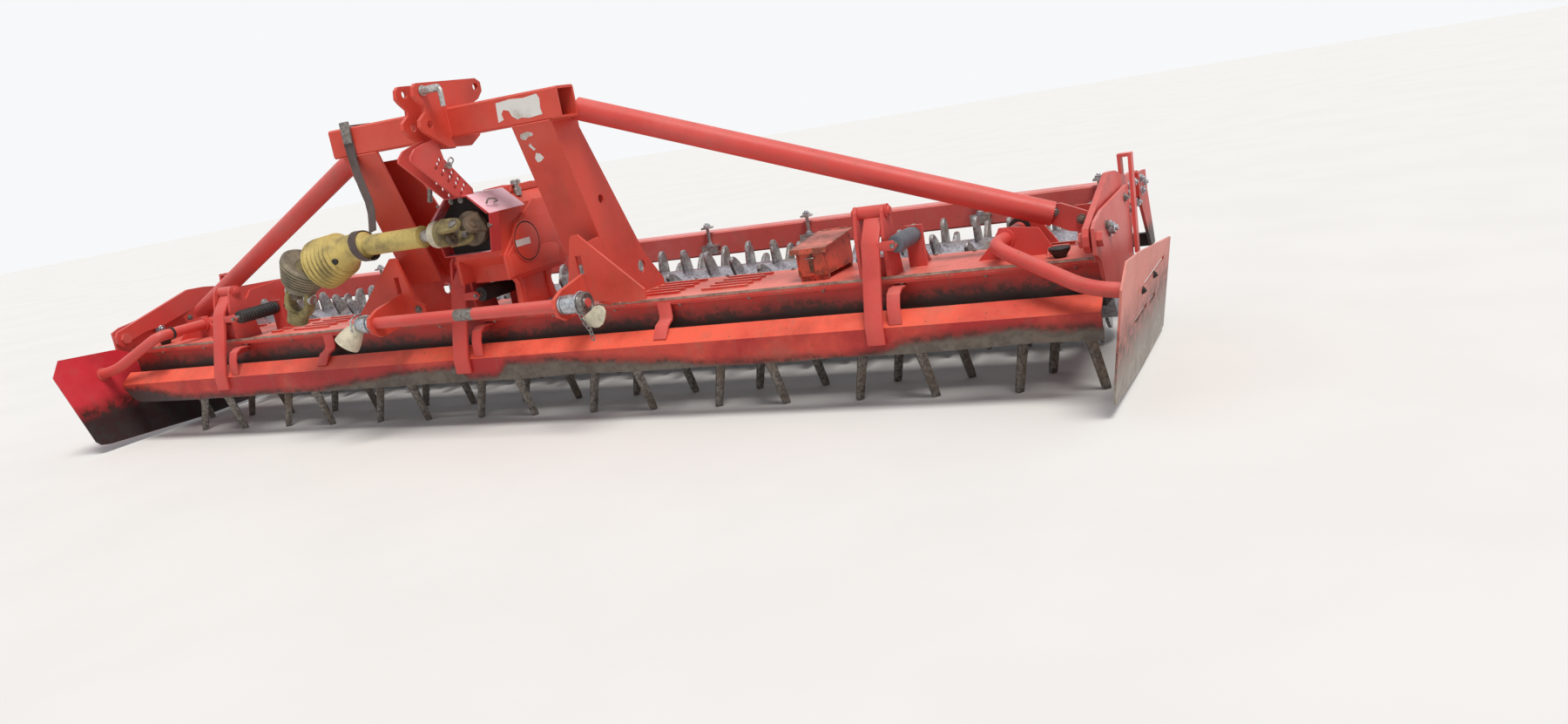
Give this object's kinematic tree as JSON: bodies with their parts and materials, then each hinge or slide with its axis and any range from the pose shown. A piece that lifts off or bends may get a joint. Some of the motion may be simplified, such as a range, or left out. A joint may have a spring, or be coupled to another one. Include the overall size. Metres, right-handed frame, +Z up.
{
  "type": "mounted power harrow with packer roller",
  "caption": "Wide tractor-mounted power harrow: a gear trough with counter-rotating tine rotors, a levelling board in front, a toothed packer roller behind and a three-point headstock.",
  "frame": {"origin": "on the ground under the middle of the machine's length and width", "axes": "+X across the machine to the right as seen from the tractor side, -Y the direction of travel, +Z up"},
  "size_m": [4.2336, 1.298, 1.171],
  "materials": {
    "red_paint": "sun-faded red paint, chipped at edges",
    "worn_red_paint": "red paint worn through to dirty grey steel low down",
    "cast_red_paint": "thick red paint over rough casting",
    "tine_steel": "worn forged steel with dried soil",
    "polished_roller": "soil-polished steel drum and teeth",
    "bare_steel": "worn bare steel",
    "black_rubber": "weathered black rubber",
    "yellow_guard": "dirty yellow moulded guard",
    "grey_webbing": "frayed grey webbing"
  },
  "bodies": {
    "main_frame": {"trough_cover": "red_paint", "board_arm_1": "red_paint", "board_arm_2": "red_paint", "board_arm_3": "red_paint", "board_bracket_1": "red_paint", "board_bracket_2": "red_paint", "board_bracket_3": "red_paint", "brace_left": "red_paint", "brace_right": "red_paint", "brace_feet": "red_paint", "headstock_beam": "red_paint", "headstock_leg_left": "red_paint", "headstock_leg_right": "red_paint", "hitch_gusset_left": "red_paint", "hitch_gusset_right": "red_paint", "top_link_head": "red_paint", "perforated_strut": "red_paint", "end_plate_left": "red_paint", "end_plate_right": "red_paint", "spring_anchors": "red_paint", "deflector_lugs": "red_paint", "tool_box": "red_paint", "input_guard": "red_paint", "gear_trough": "worn_red_paint", "levelling_board": "worn_red_paint", "gearbox": "cast_red_paint", "lower_hitch_bar": "bare_steel", "top_link_pin": "bare_steel", "shaft_strap": "grey_webbing", "board_springs": "black_rubber", "drive_shaft": "yellow_guard"},
    "roller_frame": {"roller_arm_left": "red_paint", "roller_arm_right": "red_paint", "rear_beam": "red_paint", "roller_bearing_left": "red_paint", "roller_bearing_right": "red_paint", "scraper_bar": "worn_red_paint", "scraper_adjusters": "bare_steel"},
    "roller": {"packer_roller": "polished_roller"},
    "deflector_left": {"deflector_plate_left": "worn_red_paint", "deflector_crank_left": "red_paint"},
    "deflector_right": {"deflector_plate_right": "worn_red_paint", "deflector_crank_right": "red_paint"},
    "box_lid": {"tool_box_lid": "red_paint"},
    "rotor_01_unit": {"rotor_01": "tine_steel"},
    "rotor_02_unit": {"rotor_02": "tine_steel"},
    "rotor_03_unit": {"rotor_03": "tine_steel"},
    "rotor_04_unit": {"rotor_04": "tine_steel"},
    "rotor_05_unit": {"rotor_05": "tine_steel"},
    "rotor_06_unit": {"rotor_06": "tine_steel"},
    "rotor_07_unit": {"rotor_07": "tine_steel"},
    "rotor_08_unit": {"rotor_08": "tine_steel"},
    "rotor_09_unit": {"rotor_09": "tine_steel"},
    "rotor_10_unit": {"rotor_10": "tine_steel"},
    "rotor_11_unit": {"rotor_11": "tine_steel"},
    "rotor_12_unit": {"rotor_12": "tine_steel"},
    "rotor_13_unit": {"rotor_13": "tine_steel"},
    "rotor_14_unit": {"rotor_14": "tine_steel"},
    "rotor_15_unit": {"rotor_15": "tine_steel"},
    "rotor_16_unit": {"rotor_16": "tine_steel"}
  },
  "joints": [
    {"name": "rotor_01_spin", "type": "hinge", "parent": "main_frame", "child": "rotor_01_unit", "pos_m": [-1.875, -0.171, 0.19], "axis": [0, 0, 1], "continuous": true},
    {"name": "rotor_02_spin", "type": "hinge", "parent": "main_frame", "child": "rotor_02_unit", "pos_m": [-1.625, -0.171, 0.19], "axis": [0, 0, 1], "continuous": true},
    {"name": "rotor_03_spin", "type": "hinge", "parent": "main_frame", "child": "rotor_03_unit", "pos_m": [-1.375, -0.171, 0.19], "axis": [0, 0, 1], "continuous": true},
    {"name": "rotor_04_spin", "type": "hinge", "parent": "main_frame", "child": "rotor_04_unit", "pos_m": [-1.125, -0.171, 0.19], "axis": [0, 0, 1], "continuous": true},
    {"name": "rotor_05_spin", "type": "hinge", "parent": "main_frame", "child": "rotor_05_unit", "pos_m": [-0.875, -0.171, 0.19], "axis": [0, 0, 1], "continuous": true},
    {"name": "rotor_06_spin", "type": "hinge", "parent": "main_frame", "child": "rotor_06_unit", "pos_m": [-0.625, -0.171, 0.19], "axis": [0, 0, 1], "continuous": true},
    {"name": "rotor_07_spin", "type": "hinge", "parent": "main_frame", "child": "rotor_07_unit", "pos_m": [-0.375, -0.171, 0.19], "axis": [0, 0, 1], "continuous": true},
    {"name": "rotor_08_spin", "type": "hinge", "parent": "main_frame", "child": "rotor_08_unit", "pos_m": [-0.125, -0.171, 0.19], "axis": [0, 0, 1], "continuous": true},
    {"name": "rotor_09_spin", "type": "hinge", "parent": "main_frame", "child": "rotor_09_unit", "pos_m": [0.125, -0.171, 0.19], "axis": [0, 0, 1], "continuous": true},
    {"name": "rotor_10_spin", "type": "hinge", "parent": "main_frame", "child": "rotor_10_unit", "pos_m": [0.375, -0.171, 0.19], "axis": [0, 0, 1], "continuous": true},
    {"name": "rotor_11_spin", "type": "hinge", "parent": "main_frame", "child": "rotor_11_unit", "pos_m": [0.625, -0.171, 0.19], "axis": [0, 0, 1], "continuous": true},
    {"name": "rotor_12_spin", "type": "hinge", "parent": "main_frame", "child": "rotor_12_unit", "pos_m": [0.875, -0.171, 0.19], "axis": [0, 0, 1], "continuous": true},
    {"name": "rotor_13_spin", "type": "hinge", "parent": "main_frame", "child": "rotor_13_unit", "pos_m": [1.125, -0.171, 0.19], "axis": [0, 0, 1], "continuous": true},
    {"name": "rotor_14_spin", "type": "hinge", "parent": "main_frame", "child": "rotor_14_unit", "pos_m": [1.375, -0.171, 0.19], "axis": [0, 0, 1], "continuous": true},
    {"name": "rotor_15_spin", "type": "hinge", "parent": "main_frame", "child": "rotor_15_unit", "pos_m": [1.625, -0.171, 0.19], "axis": [0, 0, 1], "continuous": true},
    {"name": "rotor_16_spin", "type": "hinge", "parent": "main_frame", "child": "rotor_16_unit", "pos_m": [1.875, -0.171, 0.19], "axis": [0, 0, 1], "continuous": true},
    {"name": "roller_depth", "type": "hinge", "parent": "main_frame", "child": "roller_frame", "pos_m": [0, -0.363, 0.437], "axis": [1, 0, 0], "range_deg": [0, 17]},
    {"name": "roller_spin", "type": "hinge", "parent": "roller_frame", "child": "roller", "pos_m": [0, 0.289, 0.228], "axis": [1, 0, 0], "continuous": true},
    {"name": "deflector_left_swing", "type": "hinge", "parent": "main_frame", "child": "deflector_left", "pos_m": [-1.715, -0.171, 0.437], "axis": [0, 1, 0], "range_deg": [0, 35]},
    {"name": "deflector_right_swing", "type": "hinge", "parent": "main_frame", "child": "deflector_right", "pos_m": [1.715, -0.171, 0.437], "axis": [0, -1, 0], "range_deg": [0, 35]},
    {"name": "box_lid_hinge", "type": "hinge", "parent": "main_frame", "child": "box_lid", "pos_m": [1.1295, -0.031, 0.5019], "axis": [-1, 0, 0], "range_deg": [0, 95]}
  ],
  "couplings": [
    {"joint": "rotor_02_spin", "follows": "rotor_01_spin", "ratio": -1},
    {"joint": "rotor_03_spin", "follows": "rotor_01_spin", "ratio": 1},
    {"joint": "rotor_04_spin", "follows": "rotor_01_spin", "ratio": -1},
    {"joint": "rotor_05_spin", "follows": "rotor_01_spin", "ratio": 1},
    {"joint": "rotor_06_spin", "follows": "rotor_01_spin", "ratio": -1},
    {"joint": "rotor_07_spin", "follows": "rotor_01_spin", "ratio": 1},
    {"joint": "rotor_08_spin", "follows": "rotor_01_spin", "ratio": -1},
    {"joint": "rotor_09_spin", "follows": "rotor_01_spin", "ratio": 1},
    {"joint": "rotor_10_spin", "follows": "rotor_01_spin", "ratio": -1},
    {"joint": "rotor_11_spin", "follows": "rotor_01_spin", "ratio": 1},
    {"joint": "rotor_12_spin", "follows": "rotor_01_spin", "ratio": -1},
    {"joint": "rotor_13_spin", "follows": "rotor_01_spin", "ratio": 1},
    {"joint": "rotor_14_spin", "follows": "rotor_01_spin", "ratio": -1},
    {"joint": "rotor_15_spin", "follows": "rotor_01_spin", "ratio": 1},
    {"joint": "rotor_16_spin", "follows": "rotor_01_spin", "ratio": -1}
  ]
}
